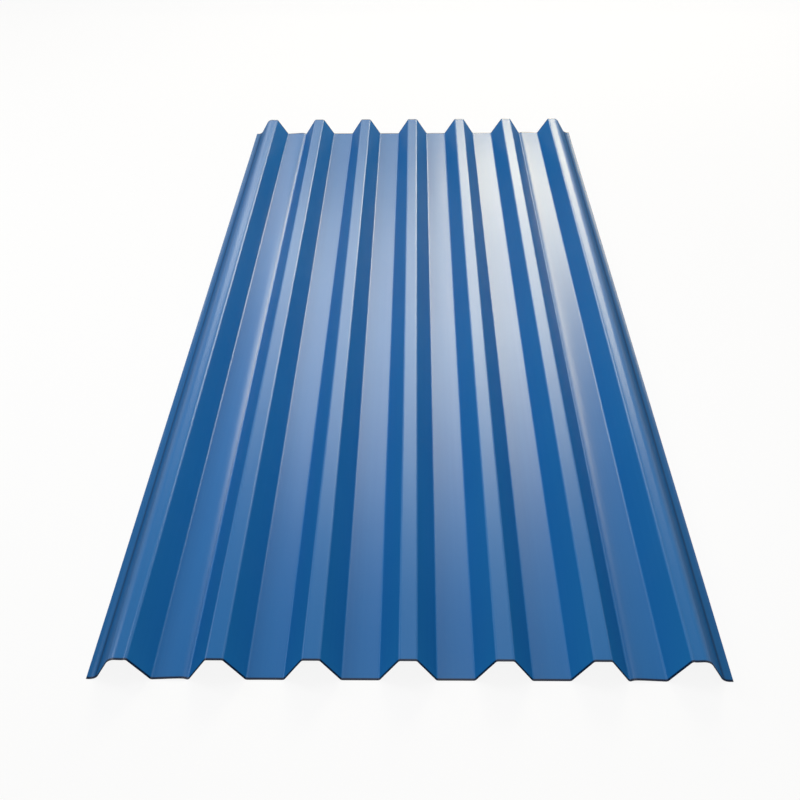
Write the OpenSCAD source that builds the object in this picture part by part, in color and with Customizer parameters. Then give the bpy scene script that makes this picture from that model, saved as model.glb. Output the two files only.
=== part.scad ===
// Corrugated metal sheet: one length of coated steel, roll-formed into trapezoidal ribs.
// The section lies across X, the ribs run along Y, and the sheet rests on Z = 0.
// The middle of the sheet is at X = 0, Y = 0. All sizes are in millimetres and degrees.

/* [Sheet] */
// Length of the sheet along its ribs
sheet_length = 1800; // [900:50:6000]
// Thickness of the coated steel
sheet_thickness = 0.6; // [0.4:0.1:1.2]

/* [Ribs] */
// Number of ribs across the sheet
rib_count = 7; // [3:1:9]
// Distance from the middle of one rib to the next
rib_pitch = 125; // [112:1:180]
// Height from the underside of the valleys to the top of the crests
rib_height = 40; // [20:1:55]
// Width of a crest from shoulder to shoulder, measured to the corners before they are rounded
crest_width = 23; // [18:1:36]
// Width of a valley from foot to foot, measured to the corners before they are rounded
valley_width = 50; // [30:1:62]
// Inside radius of the bends
bend_radius = 4; // [1:0.5:6]

/* [Side laps] */
// Sideways run of the steeper outer web of each edge rib
lap_web_run = 23.5; // [15:0.5:40]
// Inside radius of the soft outer shoulder of each edge rib
lap_shoulder_radius = 14; // [3:1:16]
// Inside radius of the soft foot of that web, where it runs out into the lip
lap_foot_radius = 14; // [3:1:16]
// Width of the lip that stiffens each long edge, measured to the corner before it is rounded
lip_width = 12.5; // [11:0.5:30]

/* [Hidden] */

// Flat facets in each bend
bend_steps = 6;
// Distance from the middle of the steel to each of its faces
half_thickness = sheet_thickness / 2;
// Heights of the middle of the steel in the valleys and in the crests
valley_level = half_thickness;
crest_level = rib_height - half_thickness;
// Sideways run of the webs between a crest and a valley
web_run = (rib_pitch - crest_width - valley_width) / 2;
// Distance from the middle of the sheet to the middle of each edge rib
edge_rib = rib_pitch * (rib_count - 1) / 2;
// Distance from the middle of the sheet to each long edge
half_width = edge_rib + crest_width / 2 + lap_web_run + lip_width;

// The four bends of one rib, counted from the left edge, as [across, height, inside radius].
function rib_bends(index) =
    let (
        middle = index * rib_pitch - edge_rib,
        is_left_edge = index == 0,
        is_right_edge = index == rib_count - 1,
        left_shoulder = middle - crest_width / 2,
        right_shoulder = middle + crest_width / 2,
        left_foot = left_shoulder - (is_left_edge ? lap_web_run : web_run),
        right_foot = right_shoulder + (is_right_edge ? lap_web_run : web_run)
    )
    [
        [left_foot, valley_level, is_left_edge ? lap_foot_radius : bend_radius],
        [left_shoulder, crest_level, is_left_edge ? lap_shoulder_radius : bend_radius],
        [right_shoulder, crest_level, is_right_edge ? lap_shoulder_radius : bend_radius],
        [right_foot, valley_level, is_right_edge ? lap_foot_radius : bend_radius]
    ];

// Corners of the middle of the steel, from the left edge to the right edge.
corners = [
    [-half_width, valley_level, 0],
    for (index = [0 : rib_count - 1]) each rib_bends(index),
    [half_width, valley_level, 0]
];
last_corner = len(corners) - 1;

function across_and_up(index) = [corners[index].x, corners[index].y];
function direction(angle) = [cos(angle), sin(angle)];
function heading(index) =
    let (step = across_and_up(index + 1) - across_and_up(index))
    atan2(step.y, step.x);

// Points along one face of one bend. The face is 1 for the top of the steel and -1 for its underside.
// The bend is an arc that touches the flats before and after the corner, so both faces share its centre.
function bend_points(index, face) =
    let (
        start = heading(index - 1),
        turn = heading(index) - start,
        radius = corners[index].z + half_thickness,
        reach = radius * tan(abs(turn) / 2),
        to_centre = sign(turn) * radius,
        centre = across_and_up(index) - reach * direction(start) + to_centre * direction(start + 90)
    )
    [
        for (step = [0 : bend_steps])
            centre + (face * half_thickness - to_centre) * direction(start + 90 + turn * step / bend_steps)
    ];

// One face of the steel from the left edge to the right edge.
function face_points(face) = [
    across_and_up(0) + [0, face * half_thickness],
    for (index = [1 : last_corner - 1]) each bend_points(index, face),
    across_and_up(last_corner) + [0, face * half_thickness]
];
function reversed(points) = [for (index = [len(points) - 1 : -1 : 0]) points[index]];

// The section of the steel: an even wall that follows every bend.
module sheet_section() {
    polygon(concat(face_points(1), reversed(face_points(-1))));
}

module corrugated_sheet() {
    color("steelblue")
        rotate([90, 0, 0])
            linear_extrude(height = sheet_length, center = true)
                sheet_section();
}

corrugated_sheet();
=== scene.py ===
"""Looks of a corrugated metal sheet: blue coated steel with trapezoidal ribs, lying on a pale studio floor.

Sizes are in metres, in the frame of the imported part: X across the ribs, Y along them, Z up from the floor.
"""

import logging
import math
from dataclasses import dataclass
from enum import Enum, IntEnum
from typing import ClassVar

import bpy
import numpy as np
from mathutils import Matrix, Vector


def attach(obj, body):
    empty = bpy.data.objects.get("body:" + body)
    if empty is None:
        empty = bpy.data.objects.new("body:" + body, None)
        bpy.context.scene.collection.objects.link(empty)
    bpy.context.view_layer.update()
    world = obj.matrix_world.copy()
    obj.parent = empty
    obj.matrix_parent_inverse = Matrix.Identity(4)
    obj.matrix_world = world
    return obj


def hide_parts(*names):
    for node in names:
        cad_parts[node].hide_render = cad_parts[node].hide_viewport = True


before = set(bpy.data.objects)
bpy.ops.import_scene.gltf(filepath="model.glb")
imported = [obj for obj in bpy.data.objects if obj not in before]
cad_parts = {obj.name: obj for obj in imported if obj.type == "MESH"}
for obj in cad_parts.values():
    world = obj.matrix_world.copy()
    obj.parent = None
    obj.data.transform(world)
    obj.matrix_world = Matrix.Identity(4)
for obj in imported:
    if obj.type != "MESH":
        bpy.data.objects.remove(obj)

LOG = logging.getLogger("corrugated_sheet")
Colour = tuple[float, float, float, float]
Place = tuple[float, float, float]
Span = tuple[float, float]
WHITE: Colour = (1.0, 1.0, 1.0, 1.0)
# Value about which Blender's noise texture varies
NOISE_MEAN = 0.5


def smooth_step(value: np.ndarray, low: float, high: float) -> np.ndarray:
    """Smooth rise from 0 at low to 1 at high: t^2 (3 - 2t) between them."""
    share = np.clip((value - low) / (high - low), 0, 1)
    return share * share * (3 - 2 * share)


def in_turn(of_flats: np.ndarray, of_bends: np.ndarray) -> np.ndarray:
    """Puts the samples of flats and bends one after the other, from left to right."""
    pairs = np.concatenate([of_flats[:-1], of_bends], 1)
    return np.concatenate([pairs.reshape(-1, *pairs.shape[2:]), of_flats[-1]])


def strip(first: np.ndarray, second: np.ndarray) -> np.ndarray:
    """Quads between rows of point numbers, facing the side where first runs to the right below second."""
    corners = [first[..., :-1], first[..., 1:], second[..., 1:], second[..., :-1]]
    return np.stack(corners, -1).reshape(-1, 4)


class FlatKind(Enum):
    """The kinds of flat strip between the bends of the section."""

    LIP = "lip"
    WEB = "web"
    CREST = "crest"
    VALLEY = "valley"


class Finish(IntEnum):
    """Material slots of the sheet's mesh."""

    TOP_COAT = 0
    BACKING_COAT = 1
    CUT_EDGE = 2


class Value:
    """A shader socket that takes part in Python arithmetic: each operation adds a Math node."""

    def __init__(self, graph: "Graph", socket: bpy.types.NodeSocket | None) -> None:
        """Wraps one output socket of a graph, or none for a node without outputs."""
        self.graph = graph
        self.socket = socket

    def _math(self, operation: str, *terms: "Value | float") -> "Value":
        """Adds a Math node that joins the terms in the order given."""
        return self.graph.node("ShaderNodeMath", {"operation": operation}, dict(enumerate(terms)))

    def __add__(self, other: "Value | float") -> "Value":
        """Sum of two values."""
        return self._math("ADD", self, other)

    def __sub__(self, other: "Value | float") -> "Value":
        """This value less another."""
        return self._math("SUBTRACT", self, other)

    def __rsub__(self, other: "Value | float") -> "Value":
        """Another value less this one."""
        return self._math("SUBTRACT", other, self)

    def __mul__(self, other: "Value | float") -> "Value":
        """Product of two values."""
        return self._math("MULTIPLY", self, other)

    def __abs__(self) -> "Value":
        """Size of the value without its sign."""
        return self._math("ABSOLUTE", self)

    def larger(self, other: "Value | float") -> "Value":
        """The larger of two values."""
        return self._math("MAXIMUM", self, other)

    def ramp(self, low: float, high: float) -> "Value":
        """Smooth rise from 0 to 1.

        Args:
            low: Value at which the rise starts.
            high: Value at which it ends; it may lie below low, and the ramp then falls.

        Returns:
            The ramped value.
        """
        start, end = (low, high) if low < high else (high, low)
        rise = self.graph.node("ShaderNodeMapRange", {"interpolation_type": "SMOOTHSTEP"},
                               {"Value": self, "From Min": start, "From Max": end})
        return rise if low < high else 1.0 - rise


@dataclass(frozen=True)
class Grain:
    """A cloudy noise pattern.

    Attributes:
        scale: About how many lumps there are to the metre.
        detail: Octaves of finer lumps on the first ones.
        stretch: Factor on the coordinates along each axis; a small one draws the lumps out along it.
    """

    scale: float
    detail: float = 2.0
    stretch: Place = (1.0, 1.0, 1.0)


@dataclass(frozen=True)
class Patches:
    """How strongly a mark shows where it comes in patches: strength (base + depth noise)."""

    strength: float
    base: float
    depth: float

    def over(self, noise: Value) -> Value:
        """Strength of the mark in the patches of a noise."""
        return (noise * self.depth + self.base) * self.strength


class Graph:
    """Writes the nodes of one material or of the world."""

    # The Mix node has a set of sockets for each kind of data. These are the numbers of the ones for colours.
    MIX_FACTOR: ClassVar[int] = 0
    MIX_FIRST: ClassVar[int] = 6
    MIX_SECOND: ClassVar[int] = 7
    MIX_RESULT: ClassVar[int] = 2

    def __init__(self, tree: bpy.types.NodeTree) -> None:
        """Starts from an empty tree."""
        self.tree = tree
        self.tree.nodes.clear()

    def node(self, kind: str, settings: dict[str, object] | None = None,
             sockets: dict[str | int, object] | None = None, output: str | int = 0) -> Value:
        """Adds any node.

        Args:
            kind: Blender's name of the node's type.
            settings: Properties of the node, set before its sockets.
            sockets: Values or links of its input sockets, by name or number.
            output: Name or number of the output to return.

        Returns:
            The chosen output.
        """
        made = self.tree.nodes.new(kind)
        for name, setting in (settings or {}).items():
            setattr(made, name, setting)
        for name, value in (sockets or {}).items():
            if isinstance(value, Value):
                self.tree.links.new(value.socket, made.inputs[name])
            else:
                made.inputs[name].default_value = value
        return Value(self, made.outputs[output] if len(made.outputs) else None)

    def mix_colour(self, factor: Value, first: Value | Colour, second: Value | Colour) -> Value:
        """Blends two colours: the first where the factor is 0, the second where it is 1."""
        sockets = {self.MIX_FACTOR: factor, self.MIX_FIRST: first, self.MIX_SECOND: second}
        return self.node("ShaderNodeMix", {"data_type": "RGBA"}, sockets, self.MIX_RESULT)

    def noise(self, coords: Value, grain: Grain) -> Value:
        """Noise from 0 to 1 in the given grain."""
        drawn_out = self.node("ShaderNodeVectorMath", {"operation": "MULTIPLY"},
                              {0: coords, 1: grain.stretch})
        return self.node("ShaderNodeTexNoise", {"noise_dimensions": "3D"},
                         {"Vector": drawn_out, "Scale": grain.scale, "Detail": grain.detail})

    def place(self) -> Value:
        """Place of the point in the part's frame."""
        return self.node("ShaderNodeTexCoord", output="Object")

    def attribute(self, name: str, output: str = "Fac") -> Value:
        """A number or a vector that the mesh carries at its points."""
        return self.node("ShaderNodeAttribute", {"attribute_name": name}, output=output)

    def part(self, vector: Value, axis: str) -> Value:
        """The X, Y or Z part of a vector."""
        return self.node("ShaderNodeSeparateXYZ", {}, {"Vector": vector}, axis)

    def seen_directly(self) -> Value:
        """Tells rays that see a thing from those that carry its light.

        Returns:
            1 for rays from the camera and for mirrored or refracted rays, and 0 for diffuse light.
        """
        kinds = ("Is Camera Ray", "Is Glossy Ray", "Is Transmission Ray")
        camera, glossy, through = (self.node("ShaderNodeLightPath", output=kind) for kind in kinds)
        return camera.larger(glossy).larger(through)


class Look:
    """A material with a name of its own, whose shader a subclass writes."""

    name: ClassVar[str]

    def shader(self, graph: Graph) -> Value:
        """Writes the nodes and returns the shader they lead to."""
        raise NotImplementedError

    def material(self) -> bpy.types.Material:
        """Builds the material.

        Returns:
            The finished material.
        """
        made = bpy.data.materials.new(self.name)
        made.use_nodes = True
        graph = Graph(made.node_tree)
        graph.node("ShaderNodeOutputMaterial", {}, {"Surface": self.shader(graph)})
        return made


@dataclass(frozen=True)
class TopCoat(Look):
    """Blue baked coat on the upper side: satin, with faint rolling marks and a little dust.

    Painted shade darkens the laps in patches, the crease at their feet and a band along the cut ends.

    Attributes:
        half_length: Distance from the middle of the sheet to its cut ends.
        crease_place: Distance from the middle of the sheet to the crease of each lap.
        end_band_span: Distances from the cut at which the band of painted shade starts and at which it is
            full.
    """

    name: ClassVar[str] = "blue_top_coat"
    half_length: float
    crease_place: float
    blue: Colour = (0.010, 0.138, 0.405, 1.0)
    faded_blue: Colour = (0.013, 0.151, 0.425, 1.0)
    fading_span: Span = (0.3, 0.7)
    streak_share: float = 0.3
    dust: Colour = (0.42, 0.44, 0.46, 1.0)
    speck_span: Span = (0.62, 0.80)
    speck_dust: float = 0.02
    film_span: Span = (0.45, 0.85)
    film_dust: float = 0.006
    # painted shade: a darker blue laid over the laps, in patches
    shaded_laps: Colour = (0.012, 0.040, 0.090, 1.0)
    lap_shading: Patches = Patches(0.24, 0.5, 1.0)
    # painted shade: a dark line along the crease at the foot of each lap
    crease: Colour = (0.002, 0.030, 0.095, 1.0)
    crease_reach: float = 0.0034
    crease_shading: Patches = Patches(0.7, 0.6, 0.8)
    # painted shade: a dark band along the cut ends of the upper face
    end_shade: Colour = (0.002, 0.012, 0.040, 1.0)
    end_band_span: Span = (0.0042, 0.0021)
    base_roughness: float = 0.45
    streak_roughness: float = 0.06
    dust_roughness: float = 0.5
    base_gloss: float = 0.012
    coat_roughness: float = 0.27
    coat_ior: float = 1.4
    streak_shine: float = 0.05
    peel_strength: float = 0.12
    peel_depth: float = 0.00004
    streaks: Grain = Grain(210.0, 3.0, (1.0, 0.006, 1.0))
    clouds: Grain = Grain(3.1)
    specks: Grain = Grain(420.0)
    film: Grain = Grain(9.0, 3.0)
    peel: Grain = Grain(650.0)

    def shader(self, graph: Graph) -> Value:
        """Writes the coat: colours laid over each other, under a clear gloss that follows the sheet's shine.

        Args:
            graph: Graph of the material.

        Returns:
            The shader.
        """
        place = graph.place()
        developed = graph.attribute("developed", "Vector")
        streaks = graph.noise(developed, self.streaks)
        clouds = graph.noise(place, self.clouds)
        specks = graph.noise(place, self.specks).ramp(*self.speck_span)
        film = graph.noise(place, self.film).ramp(*self.film_span)
        dust = specks * self.speck_dust + film * self.film_dust
        fading = (clouds * (1 - self.streak_share) + streaks * self.streak_share).ramp(*self.fading_span)
        # masks of the painted shade in the laps' creases and along the cut ends
        crease = abs(abs(graph.part(place, "X")) - self.crease_place).ramp(self.crease_reach, 0.0)
        end_shade = (self.half_length - abs(graph.part(developed, "Y"))).ramp(*self.end_band_span)
        paint = graph.mix_colour(fading, self.blue, self.faded_blue)
        dusty = graph.mix_colour(dust, paint, self.dust)
        # painted shade darkens the laps in patches
        shaded_laps = graph.mix_colour(graph.attribute("lap") * self.lap_shading.over(clouds), dusty, self.shaded_laps)
        # painted shade along the crease at each lap's foot
        crease_shaded = graph.mix_colour(crease * self.crease_shading.over(clouds), shaded_laps, self.crease)
        # painted shade along the cut ends
        colour = graph.mix_colour(end_shade, crease_shaded, self.end_shade)
        uneven = streaks - NOISE_MEAN
        roughness = uneven * self.streak_roughness + dust * self.dust_roughness + self.base_roughness
        shine = uneven * self.streak_shine + graph.attribute("shine")
        peel = {"Strength": self.peel_strength, "Distance": self.peel_depth,
                "Height": graph.noise(place, self.peel)}
        return graph.node("ShaderNodeBsdfPrincipled", {}, {
            "Base Color": colour, "Roughness": roughness, "Specular IOR Level": self.base_gloss,
            "Normal": graph.node("ShaderNodeBump", {}, peel, "Normal"),
            "Coat Weight": shine, "Coat Roughness": self.coat_roughness, "Coat IOR": self.coat_ior})


@dataclass(frozen=True)
class BackingCoat(Look):
    """Thin pale grey coat on the underside, a little blotchy from the coating roller."""

    name: ClassVar[str] = "grey_backing_coat"
    grey: Colour = (0.46, 0.47, 0.47, 1.0)
    thin_grey: Colour = (0.38, 0.39, 0.40, 1.0)
    thin_span: Span = (0.35, 0.65)
    streak_share: float = 0.5
    roughness: float = 0.5
    blotch_roughness: float = 0.15
    streaks: Grain = Grain(90.0, 3.0, (1.0, 0.03, 1.0))
    blotches: Grain = Grain(14.0, 3.0)

    def shader(self, graph: Graph) -> Value:
        """Writes the coat: two greys in streaks and blotches.

        Args:
            graph: Graph of the material.

        Returns:
            The shader.
        """
        developed = graph.attribute("developed", "Vector")
        streaks = graph.noise(developed, self.streaks)
        blotches = graph.noise(developed, self.blotches)
        thinning = (streaks * self.streak_share + blotches * (1 - self.streak_share)).ramp(*self.thin_span)
        return graph.node("ShaderNodeBsdfPrincipled", {}, {
            "Base Color": graph.mix_colour(thinning, self.grey, self.thin_grey),
            "Roughness": (blotches - NOISE_MEAN) * self.blotch_roughness + self.roughness})


@dataclass(frozen=True)
class CutEdge(Look):
    """Bare sheared edge of the steel, dull and dark with small bright nicks."""

    name: ClassVar[str] = "sheared_steel_edge"
    steel: Colour = (0.035, 0.045, 0.065, 1.0)
    nick: Colour = (0.22, 0.24, 0.27, 1.0)
    nick_span: Span = (0.6, 0.75)
    nick_polish: float = 0.15
    roughness: float = 0.5
    metallic: float = 0.6
    nicks: Grain = Grain(320.0, 3.0)

    def shader(self, graph: Graph) -> Value:
        """Writes the edge: dark steel, brighter and smoother in the nicks.

        Args:
            graph: Graph of the material.

        Returns:
            The shader.
        """
        nicks = graph.noise(graph.place(), self.nicks).ramp(*self.nick_span)
        return graph.node("ShaderNodeBsdfPrincipled", {}, {
            "Base Color": graph.mix_colour(nicks, self.steel, self.nick),
            "Roughness": self.roughness - nicks * self.nick_polish, "Metallic": self.metallic})


@dataclass(frozen=True)
class PaleFloor(Look):
    """Matt floor. Part of what is seen of it is plain white, and the rest keeps the sheet's shadow."""

    name: ClassVar[str] = "pale_floor"
    colour: Colour = (0.88, 0.88, 0.88, 1.0)
    glow: float = 0.89

    def shader(self, graph: Graph) -> Value:
        """Writes the floor: its matt colour, mixed with white for the rays that see it.

        Args:
            graph: Graph of the material.

        Returns:
            The shader.
        """
        matt = graph.node("ShaderNodeBsdfDiffuse", {}, {"Color": self.colour})
        white = graph.node("ShaderNodeEmission", {}, {"Color": WHITE})
        share = graph.seen_directly() * self.glow
        return graph.node("ShaderNodeMixShader", {}, {0: share, 1: matt, 2: white})


@dataclass(frozen=True)
class MiddleLine:
    """Samples of the section's middle line, one row to a sample.

    Attributes:
        place: Across and up.
        normal: Unit normal towards the upper side.
        flat: Number of the flat that the sample lies on, or -1 in a bend.
        share: How far along its flat the sample lies, from 0 to 1.
    """

    place: np.ndarray
    normal: np.ndarray
    flat: np.ndarray
    share: np.ndarray

    def developed(self) -> np.ndarray:
        """Length along the line from its middle, as if the section were rolled flat."""
        length = np.concatenate([[0.0], np.cumsum(np.linalg.norm(np.diff(self.place, axis=0), axis=1))])
        return length - length[-1] / 2

    def on_flats(self, of_flats: np.ndarray) -> np.ndarray:
        """Takes each sample's value from a list with one for each flat, and 0 in the bends."""
        return np.where(self.flat < 0, 0.0, of_flats[self.flat])


@dataclass(frozen=True)
class Section:
    """The bent section of the sheet, as the middle line of the steel.

    The corners of the middle line are joined by flats, and each corner is rounded by an arc that touches the
    flats on both sides. A corner with turn angle a and radius r is rounded from r tan(a/2) before it.

    Attributes:
        crest, valley, lip: Widths, measured to the corners before they are rounded.
        bend_radius, lap_shoulder_radius, lap_foot_radius: Radii on the inside of the bends.
        lap_web_run: Sideways run of the outer web of each edge rib.
        bend_steps, flat_steps: Parts into which each bend and each flat is sampled.
    """

    thickness: float = 0.0006
    rib_count: int = 7
    pitch: float = 0.125
    height: float = 0.040
    crest: float = 0.023
    valley: float = 0.050
    bend_radius: float = 0.004
    lap_web_run: float = 0.0235
    lap_shoulder_radius: float = 0.014
    lap_foot_radius: float = 0.014
    lip: float = 0.0125
    bend_steps: int = 8
    flat_steps: int = 10

    def corners(self) -> tuple[np.ndarray, np.ndarray]:
        """Works out the corners before they are rounded.

        Returns:
            Corner places as rows of across and up, and the radius of the middle line at each inner corner.
        """
        low = self.thickness / 2
        high = self.height - low
        middles = (np.arange(self.rib_count) - (self.rib_count - 1) / 2) * self.pitch
        left_run = np.full(self.rib_count, (self.pitch - self.crest - self.valley) / 2)
        right_run = left_run.copy()
        left_run[0] = right_run[-1] = self.lap_web_run
        left, right = middles - self.crest / 2, middles + self.crest / 2
        across = np.stack([left - left_run, left, right, right + right_run], 1)
        up = np.tile([low, high, high, low], (self.rib_count, 1))
        inner = np.stack([across.ravel(), up.ravel()], 1)
        lip = np.array([[self.lip, 0.0]])
        radii = np.full(len(inner), self.bend_radius)
        radii[[1, -2]] = self.lap_shoulder_radius
        radii[[0, -1]] = self.lap_foot_radius
        return np.concatenate([inner[:1] - lip, inner, inner[-1:] + lip]), radii + self.thickness / 2

    def lap_start(self) -> float:
        """Distance from the middle of the sheet to the outer corner of each edge rib's crest."""
        return (self.rib_count - 1) / 2 * self.pitch + self.crest / 2

    def lap_foot(self) -> float:
        """Distance from the middle of the sheet to the corner between each lap's web and its lip."""
        return self.lap_start() + self.lap_web_run

    def flat_kinds(self) -> list[FlatKind]:
        """Names the flats from the left edge to the right edge."""
        rib = [FlatKind.VALLEY, FlatKind.WEB, FlatKind.CREST, FlatKind.WEB]
        return [FlatKind.LIP] + (rib * self.rib_count)[1:] + [FlatKind.LIP]

    def middle_line(self) -> MiddleLine:
        """Samples the middle line: flats and bends in turn, each from its own formula.

        A flat is start + (end - start) t, with its samples closer together near the bends. A bend is
        centre - r n, where n turns evenly from the normal of the flat before it to that of the one after it.

        Returns:
            The sampled line.
        """
        corner, radius = self.corners()
        step = np.diff(corner, axis=0)
        heading = np.arctan2(step[:, 1], step[:, 0])
        turn = np.diff(heading)
        reach = radius * np.tan(np.abs(turn) / 2)
        forward = np.stack([np.cos(heading), np.sin(heading)], 1)
        starts = np.concatenate([corner[:1], corner[1:-1] + reach[:, None] * forward[1:]])
        ends = np.concatenate([corner[1:-1] - reach[:, None] * forward[:-1], corner[-1:]])
        share = (1 - np.cos(np.linspace(0, np.pi, self.flat_steps + 1))) / 2
        flats = starts[:, None] + (ends - starts)[:, None] * share[None, :, None]
        flat_normal = np.stack([-np.sin(heading), np.cos(heading)], 1)
        flat_normals = np.repeat(flat_normal[:, None], len(share), 1)
        angle = heading[:-1, None] + turn[:, None] * np.linspace(0, 1, self.bend_steps + 1)[None, 1:-1]
        bend_normals = np.stack([-np.sin(angle), np.cos(angle)], 2)
        signed = (np.sign(turn) * radius)[:, None, None]
        centre = ends[:-1, None] + signed * flat_normal[:-1, None]
        bends = centre - signed * bend_normals
        numbers = np.repeat(np.arange(len(flats))[:, None], len(share), 1)
        shares = np.repeat(share[None], len(flats), 0)
        return MiddleLine(in_turn(flats, bends), in_turn(flat_normals, bend_normals),
                          in_turn(numbers, np.full(angle.shape, -1)), in_turn(shares, np.zeros(angle.shape)))


@dataclass
class CorrugatedSheet:
    """The sheet: its section carried along the ribs, with the slight unevenness that roll forming leaves.

    Attributes:
        valley_crown, crest_dip, web_bow, lip_wave: Depth of the swell on each kind of flat.
        edge_valley_lean, edge_crest_lean: Lean of the flats beside and on the edge ribs.
        lean_sharpness: Power that sets how close to its inner bend such a flat falls back.
        ripple_length, ripple_spread: Mean length of the waves along the flats, and how much it varies.
        second_wave: Share of a shorter wave in the ripple.
        second_rate, second_phase: Factors on the first wave's angle and phase that give the second's.
        phase_step, length_step: Steps from flat to flat that spread the waves' phases and lengths evenly.
        web_shine, lip_shine, rim_shine: Shares of the shine that are left on webs, lips and free edges.
        dull_ends: Shares of the way to the cut ends between which the webs lose the rest of their shine.
        level_span: Upward parts of the normal between which a web passes into a level flat.
        sharp_angle: Angle in degrees between two faces from which their edge is shown sharp.
        underside_shift: Shift of the underside's flat coordinates, so that it has patterns of its own.
    """

    section: Section = Section()
    length: float = 1.8
    length_steps: int = 80
    valley_crown: float = 0.00014
    crest_dip: float = 0.00007
    web_bow: float = 0.00010
    lip_wave: float = 0.0005
    edge_valley_lean: float = 0.0028
    edge_crest_lean: float = -0.0006
    lean_sharpness: int = 12
    ripple_length: float = 0.62
    ripple_spread: float = 0.4
    second_wave: float = 0.35
    second_rate: float = 2.3
    second_phase: float = 1.7
    phase_step: float = 0.6180339887
    length_step: float = 0.7548776662
    web_shine: float = 0.45
    lip_shine: float = 0.16
    rim_shine: float = 0.60
    dull_ends: Span = (0.74, 0.94)
    level_span: Span = (0.62, 0.86)
    sharp_angle: float = 40.0
    underside_shift: Place = (0.0, 0.0, 1.0)

    def swell(self, line: MiddleLine) -> np.ndarray:
        """Works out how far the flats swell across their width.

        The swell is sin^2(pi t) between two bends and t^2 towards a free edge, times the depth of that kind
        of flat. Valleys rise and crests dip, so the sheet stays within its true height. Bends stay true.

        Args:
            line: Samples of the section.

        Returns:
            One offset for each sample.
        """
        kinds = self.section.flat_kinds()
        depth = {FlatKind.VALLEY: self.valley_crown, FlatKind.CREST: -self.crest_dip,
                 FlatKind.WEB: self.web_bow, FlatKind.LIP: self.lip_wave}
        shape = np.sin(np.pi * line.share) ** 2
        shape = np.where(line.flat == 0, (1 - line.share) ** 2, shape)
        shape = np.where(line.flat == len(kinds) - 1, line.share ** 2, shape)
        return line.on_flats(np.array([depth[kind] for kind in kinds])) * shape

    def ripple(self, line: MiddleLine, along: np.ndarray) -> np.ndarray:
        """Works out a slow wave along each flat.

        It is (1 - s) cos(w) + s cos(r w + q p), where w = 2 pi y / length + p. The phase p and the length
        are the flat's own, and s, r and q are the share, rate and phase factor of the second wave.

        Args:
            line: Samples of the section.
            along: Places along the sheet.

        Returns:
            Waves from -1 to 1, one row for each sample of the section and one column for each place.
        """
        number = np.maximum(line.flat, 0)
        phase = 2 * np.pi * np.modf(number * self.phase_step)[0][:, None]
        spread = self.ripple_spread * (np.modf(number * self.length_step)[0] - 0.5)
        wave = 2 * np.pi * along[None, :] / (self.ripple_length * (1 + spread))[:, None] + phase
        second = np.cos(self.second_rate * wave + self.second_phase * phase)
        return (1 - self.second_wave) * np.cos(wave) + self.second_wave * second

    def lean(self, line: MiddleLine) -> np.ndarray:
        """Works out how far the floors of the outer valleys lean outwards and the edge crests inwards.

        It is lean u (1 - u^k), with u from 0 at the outer bend to 1 at the inner one, and k the sharpness.

        Args:
            line: Samples of the section.

        Returns:
            One offset for each sample.
        """
        kinds = self.section.flat_kinds()
        leans = np.zeros(len(kinds))
        edge_leans = {FlatKind.CREST: self.edge_crest_lean, FlatKind.VALLEY: self.edge_valley_lean}
        for kind, lean in edge_leans.items():
            first = kinds.index(kind)
            leans[[first, -1 - first]] = lean
        inwards = np.where(line.flat < len(kinds) / 2, line.share, 1 - line.share)
        return line.on_flats(leans) * inwards * (1 - inwards ** self.lean_sharpness)

    def unevenness(self, line: MiddleLine, along: np.ndarray) -> np.ndarray:
        """Offset of each point from the true section, along its normal: swell (1 + ripple) / 2 + lean."""
        return self.swell(line)[:, None] * (1 + self.ripple(line, along)) / 2 + self.lean(line)[:, None]

    def lap_share(self, line: MiddleLine) -> np.ndarray:
        """Share from 0 on the ribs to 1 on the lips: a smooth step across the shoulder of each lap."""
        start, reach = self.section.lap_start(), self.section.lap_shoulder_radius / 2
        return smooth_step(np.abs(line.place[:, 0]), start - reach, start + reach)

    def shine(self, line: MiddleLine, along: np.ndarray) -> np.ndarray:
        """Works out the share of its shine that the coat keeps, from 0 to 1.

        It is w + (1 - w) s(n), where n is the upward part of the normal and s a smooth step. Forming dulls
        the coat on the webs to w = web (1 - v^2) (1 - e(v)), where v runs from 0 in the middle of the sheet
        to 1 at its ends, and e is a smooth step near them. Across each lap's shoulder the share falls to the
        lip's, and from the lap's foot to the free edge it rises again to the rim's.

        Args:
            line: Samples of the section.
            along: Places along the sheet.

        Returns:
            Shares, one row for each sample of the section and one column for each place along the sheet.
        """
        outwards = np.abs(2 * along / self.length)
        web = self.web_shine * (1 - outwards ** 2) * (1 - smooth_step(outwards, *self.dull_ends))
        level = web + (1 - web) * smooth_step(line.normal[:, 1:], *self.level_span)
        foot = self.section.lap_foot()
        rim = smooth_step(np.abs(line.place[:, 0]), foot, foot + self.section.lip)
        lip = self.lip_shine + (self.rim_shine - self.lip_shine) * rim
        return level * (1 - (1 - lip) * self.lap_share(line))[:, None]

    def surface(self, line: MiddleLine, along: np.ndarray, side: int) -> np.ndarray:
        """One face of the steel: middle line + normal (side thickness / 2 + unevenness), carried along Y.

        Args:
            line: Samples of the section.
            along: Places along the sheet.
            side: 1 for the upper face and -1 for the underside.

        Returns:
            Points, indexed by sample of the section, place along the sheet and axis.
        """
        offset = side * self.section.thickness / 2 + self.unevenness(line, along)
        across_up = line.place[:, None, :] + line.normal[:, None, :] * offset[:, :, None]
        y = np.broadcast_to(along[None, :], offset.shape)
        return np.stack([across_up[:, :, 0], y, across_up[:, :, 1]], 2)

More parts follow.
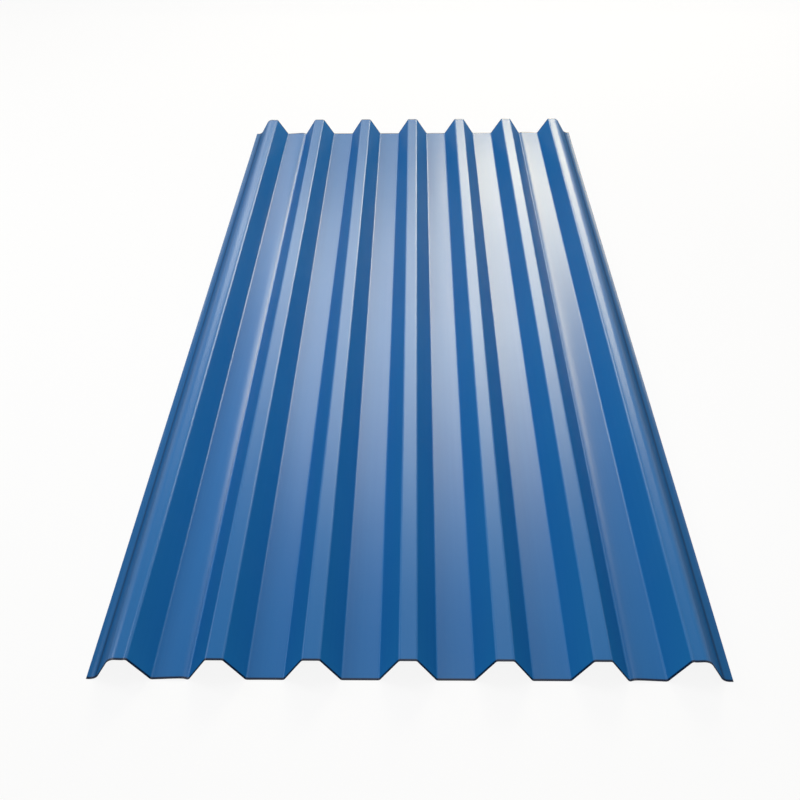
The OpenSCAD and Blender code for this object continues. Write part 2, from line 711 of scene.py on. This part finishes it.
    def faces(self, rows: int, columns: int) -> dict[Finish, np.ndarray]:
        """Joins the points into a closed skin: two grids, and the strips of the four cut edges between them.

        Args:
            rows: Number of samples of the section.
            columns: Number of places along the sheet.

        Returns:
            Quads of point numbers for each finish. The upper face's points come first.
        """
        top = np.arange(rows * columns).reshape(rows, columns)
        under = top + rows * columns
        edges = [strip(under[:, 0], top[:, 0]), strip(top[:, -1], under[:, -1]),
                 strip(top[0], under[0]), strip(under[-1], top[-1])]
        return {Finish.TOP_COAT: strip(top[1:], top[:-1]),
                Finish.BACKING_COAT: strip(under[:-1], under[1:]),
                Finish.CUT_EDGE: np.concatenate(edges)}

    def add_attributes(self, mesh: bpy.types.Mesh, line: MiddleLine, along: np.ndarray) -> None:
        """Gives the points what the coats need: places on the sheet rolled flat, shine and share of the lap.

        Args:
            mesh: Mesh of the sheet.
            line: Samples of the section.
            along: Places along the sheet.
        """
        across, y = np.meshgrid(line.developed(), along, indexing="ij")
        flat = np.stack([across, y, np.zeros_like(across)], 2).reshape(-1, 3)
        developed = mesh.attributes.new("developed", "FLOAT_VECTOR", "POINT")
        both_sides = np.concatenate([flat, flat + self.underside_shift])
        developed.data.foreach_set("vector", both_sides.astype(np.float32).ravel())
        laps = np.broadcast_to(self.lap_share(line)[:, None], across.shape)
        for name, level in {"shine": self.shine(line, along), "lap": laps}.items():
            attribute = mesh.attributes.new(name, "FLOAT", "POINT")
            attribute.data.foreach_set("value", np.tile(level.ravel(), 2).astype(np.float32))

    def add_coats(self, mesh: bpy.types.Mesh) -> None:
        """Fills the mesh's material slots.

        Args:
            mesh: Mesh of the sheet.
        """
        coats = {Finish.TOP_COAT: TopCoat(self.length / 2, self.section.lap_foot()),
                 Finish.BACKING_COAT: BackingCoat(), Finish.CUT_EDGE: CutEdge()}
        for finish in Finish:
            mesh.materials.append(coats[finish].material())

    def mesh(self) -> bpy.types.Mesh:
        """Builds the closed mesh of the sheet.

        Returns:
            The mesh, with its material slots, its attributes and its sharp cut edges.
        """
        line = self.section.middle_line()
        along = np.linspace(-self.length / 2, self.length / 2, self.length_steps + 1)
        points = np.concatenate([self.surface(line, along, side).reshape(-1, 3) for side in (1, -1)])
        faces = self.faces(len(line.place), len(along))
        quads = np.concatenate(list(faces.values()))
        finish = np.concatenate([np.full(len(group), kind) for kind, group in faces.items()])
        made = bpy.data.meshes.new("corrugated_sheet_skin")
        made.vertices.add(len(points))
        made.vertices.foreach_set("co", points.ravel())
        made.loops.add(quads.size)
        made.loops.foreach_set("vertex_index", quads.ravel().astype(np.int32))
        made.polygons.add(len(quads))
        made.polygons.foreach_set("loop_start", np.arange(0, quads.size, 4, dtype=np.int32))
        made.polygons.foreach_set("material_index", finish.astype(np.int32))
        made.polygons.foreach_set("use_smooth", np.ones(len(quads), dtype=bool))
        self.add_attributes(made, line, along)
        made.update(calc_edges=True)
        made.validate()
        made.set_sharp_from_angle(angle=math.radians(self.sharp_angle))
        self.add_coats(made)
        return made

    def build(self) -> bpy.types.Object:
        """Makes the sheet's object, in the place of the plain solid.

        Returns:
            The object.
        """
        made = bpy.data.objects.new("sheet_skin", self.mesh())
        bpy.context.scene.collection.objects.link(made)
        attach(made, "root")
        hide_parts("corrugated_sheet")
        return made


@dataclass(frozen=True)
class SoftBox:
    """A soft rectangular studio lamp. One without an aim faces straight along the ribs, towards Y = 0."""

    name: str
    place: Place
    width: float
    height: float
    radiance: float
    colour: tuple[float, float, float] = (1.0, 1.0, 1.0)
    aim: Place | None = None

    def build(self) -> bpy.types.Object:
        """Makes the lamp. Its power is radiance x area x pi, so that it looks equally bright at any size.

        Returns:
            The lamp's object.
        """
        lamp = bpy.data.lights.new(self.name, "AREA")
        lamp.shape = "RECTANGLE"
        lamp.size, lamp.size_y = self.width, self.height
        lamp.energy = self.radiance * self.width * self.height * math.pi
        lamp.color = self.colour
        aim = self.aim or (self.place[0], 0.0, self.place[2])
        made = bpy.data.objects.new(self.name, lamp)
        made.location = self.place
        made.rotation_euler = (Vector(aim) - Vector(self.place)).to_track_quat("-Z", "Y").to_euler()
        made.visible_camera = False
        bpy.context.scene.collection.objects.link(made)
        return made


@dataclass
class Studio:
    """Pale floor, white surroundings, soft lamps and the camera.

    Attributes:
        ambient, zenith: Diffuse light from the horizon and from straight above.
        surroundings, overhead: Levels that are seen or mirrored low down and high up.
        dimming_span: Heights of a ray's direction between which the one passes into the other.
        camera_turn: Turn of the camera about X, Y and Z, in degrees.
        lens, sensor: Focal length and width of the picture, in millimetres.
    """

    floor_size: float = 40.0
    floor: PaleFloor = PaleFloor()
    ambient: float = 0.16
    zenith: float = 0.38
    surroundings: float = 0.90
    overhead: float = 0.30
    dimming_span: Span = (0.4, 0.8)
    lamps: tuple[SoftBox, ...] = (
        SoftBox("back_panel", (0.05, 3.0, 2.30), 1.84, 1.86, 4.8, (1.0, 1.0, 0.91)),
        SoftBox("back_right_window", (0.63, 3.0, 1.75), 0.92, 1.70, 10.9, (1.0, 0.89, 0.62)),
        SoftBox("back_right_high", (0.46, 2.9, 2.00), 0.50, 0.70, 6.8, (1.0, 0.89, 0.60)),
        SoftBox("back_right_edge", (1.60, 3.0, 1.10), 0.90, 1.40, 1.0),
        SoftBox("back_left_panel", (-1.16, 3.0, 1.20), 0.90, 1.00, 1.3),
        SoftBox("upper_left", (-1.80, 0.15, 1.50), 0.80, 0.80, 7.0, aim=(0.10, 0.15, 0.0)),
        SoftBox("front_top", (0.08, -0.50, 1.20), 0.60, 0.60, 3.5, aim=(0.05, -0.45, 0.0)),
    )
    camera_place: Place = (0.01122, -1.73400, 1.09451)
    camera_turn: Place = (52.7407, 0.5739, 0.7434)
    lens: float = 45.7384
    sensor: float = 36.0

    def build_floor(self) -> bpy.types.Object:
        """Makes the floor.

        Returns:
            The floor's object.
        """
        half = self.floor_size / 2
        corners = [(-half, -half, 0), (half, -half, 0), (half, half, 0), (-half, half, 0)]
        mesh = bpy.data.meshes.new("studio_floor")
        mesh.from_pydata(corners, [], [(0, 1, 2, 3)])
        mesh.materials.append(self.floor.material())
        made = bpy.data.objects.new("studio_floor", mesh)
        bpy.context.scene.collection.objects.link(made)
        return made

    def build_world(self) -> bpy.types.World:
        """Makes the surroundings.

        Where they are seen or mirrored they are pale low down and dimmer overhead. The diffuse light that
        they give is brightest overhead.

        Returns:
            The world.
        """
        world = bpy.data.worlds.new("studio_white")
        world.use_nodes = True
        graph = Graph(world.node_tree)
        height = graph.part(graph.node("ShaderNodeTexCoord", output="Generated"), "Z")
        light = height.larger(0.0) * (self.zenith - self.ambient) + self.ambient
        seen = height.ramp(*self.dimming_span) * (self.overhead - self.surroundings) + self.surroundings
        strength = graph.seen_directly() * (seen - light) + light
        white = graph.node("ShaderNodeBackground", {}, {"Color": WHITE, "Strength": strength})
        graph.node("ShaderNodeOutputWorld", {}, {"Surface": white})
        bpy.context.scene.world = world
        return world

    def build_camera(self) -> bpy.types.Object:
        """Makes the camera at the photograph's place and angle.

        Returns:
            The camera's object.
        """
        lens = bpy.data.cameras.new("camera")
        lens.lens, lens.sensor_width = self.lens, self.sensor
        made = bpy.data.objects.new("camera", lens)
        made.location = self.camera_place
        made.rotation_euler = [math.radians(angle) for angle in self.camera_turn]
        bpy.context.scene.collection.objects.link(made)
        bpy.context.scene.camera = made
        return made

    def build(self) -> None:
        """Sets up everything around the sheet."""
        bpy.context.scene.view_settings.view_transform = "Standard"
        self.build_floor()
        self.build_world()
        self.build_camera()
        for lamp in self.lamps:
            lamp.build()


def main() -> None:
    """Builds the sheet and the studio, and reports each piece."""
    logging.basicConfig(level=logging.INFO, format="%(message)s")
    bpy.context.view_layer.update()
    sheet = CorrugatedSheet().build()
    LOG.info("%s: %d faces", sheet.name, len(sheet.data.polygons))
    Studio().build()
    LOG.info("studio: floor, surroundings, lamps and camera")


if __name__ == "__main__":
    main()
